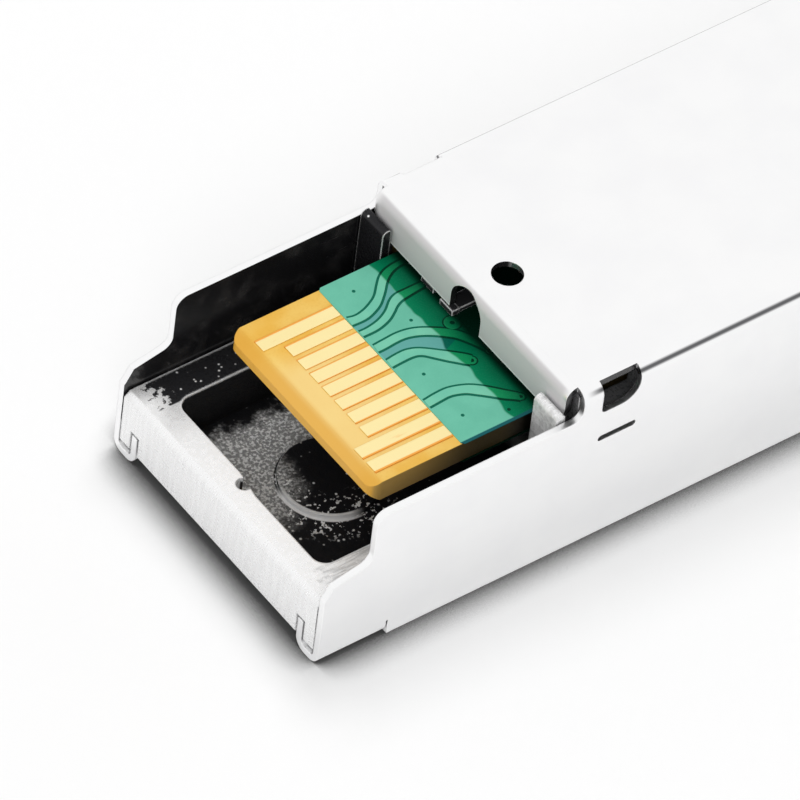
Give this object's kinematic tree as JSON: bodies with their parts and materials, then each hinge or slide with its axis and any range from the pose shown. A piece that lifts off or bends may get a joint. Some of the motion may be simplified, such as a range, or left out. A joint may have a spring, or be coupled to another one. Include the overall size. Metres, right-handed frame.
{
  "type": "bidi sfp transceiver",
  "caption": "Pluggable single-fibre optical module with die-cast housing, folded sheet cover, card-edge contacts and a wire bail latch.",
  "frame": {"origin": "middle of the label face along the length that the cage holds, on the module's centre-line", "axes": "+X along the module towards the optical port, +Z out of the sheet cover away from the label face; the edge connector end is at -X"},
  "size_m": [0.0574, 0.0138, 0.0097],
  "materials": {
    "plated_casting": "satin nickel-plated zinc casting",
    "plated_sheet": "satin nickel-plated sheet",
    "laminate": "bare glass-epoxy tongue, green solder mask beyond it",
    "gold_plate": "hard gold flash",
    "chip_plastic": "moulded epoxy",
    "chip_ceramic": "fired ceramic with tinned ends",
    "ferrite": "fired ferrite with tinned ends",
    "thermal_rubber": "soft filled silicone",
    "turned_steel": "turned stainless steel",
    "zirconia": "ground zirconia",
    "filter_glass": "coated glass",
    "gold_can": "gold-plated header",
    "retainer_casting": "plain casting",
    "flex_film": "polyimide film",
    "latch_steel": "pressed steel",
    "spring_steel": "thin spring strip",
    "bail_steel": "drawn stainless wire"
  },
  "bodies": {
    "shell": {"housing": "plated_casting", "cover": "plated_sheet", "circuit_board": "laminate", "edge_contacts": "gold_plate", "driver_chip": "chip_plastic", "controller_chip": "chip_plastic", "memory_chip": "chip_plastic", "chip_capacitors": "chip_ceramic", "chip_resistors": "chip_ceramic", "chip_inductors": "ferrite", "thermal_pad": "thermal_rubber", "receptacle": "turned_steel", "split_sleeve": "zirconia", "fibre_stub": "zirconia", "alignment_ring": "turned_steel", "optics_body": "turned_steel", "splitter_filter": "filter_glass", "laser_can": "gold_can", "weld_ring": "turned_steel", "photodiode_can": "gold_can", "optics_retainer": "retainer_casting", "laser_flex": "flex_film", "receiver_flex": "flex_film", "lever_pin": "latch_steel", "latch_spring": "spring_steel", "finger_collar": "spring_steel"},
    "wire_bail": {"bail": "bail_steel"},
    "latch": {"latch_lever": "latch_steel"}
  },
  "joints": [
    {"name": "bail_swing", "type": "hinge", "parent": "shell", "child": "wire_bail", "pos_m": [0.02905, 0, 0.0087], "axis": [0, -1, 0], "range_deg": [0, 90]},
    {"name": "latch_rock", "type": "hinge", "parent": "shell", "child": "latch", "pos_m": [0.02575, 0, 0.0087], "axis": [0, -1, 0], "range_deg": [0, 6.9], "deforming": ["latch_spring"]}
  ],
  "couplings": [
    {"joint": "latch_rock", "follows": "bail_swing", "ratio": 0.076667}
  ]
}
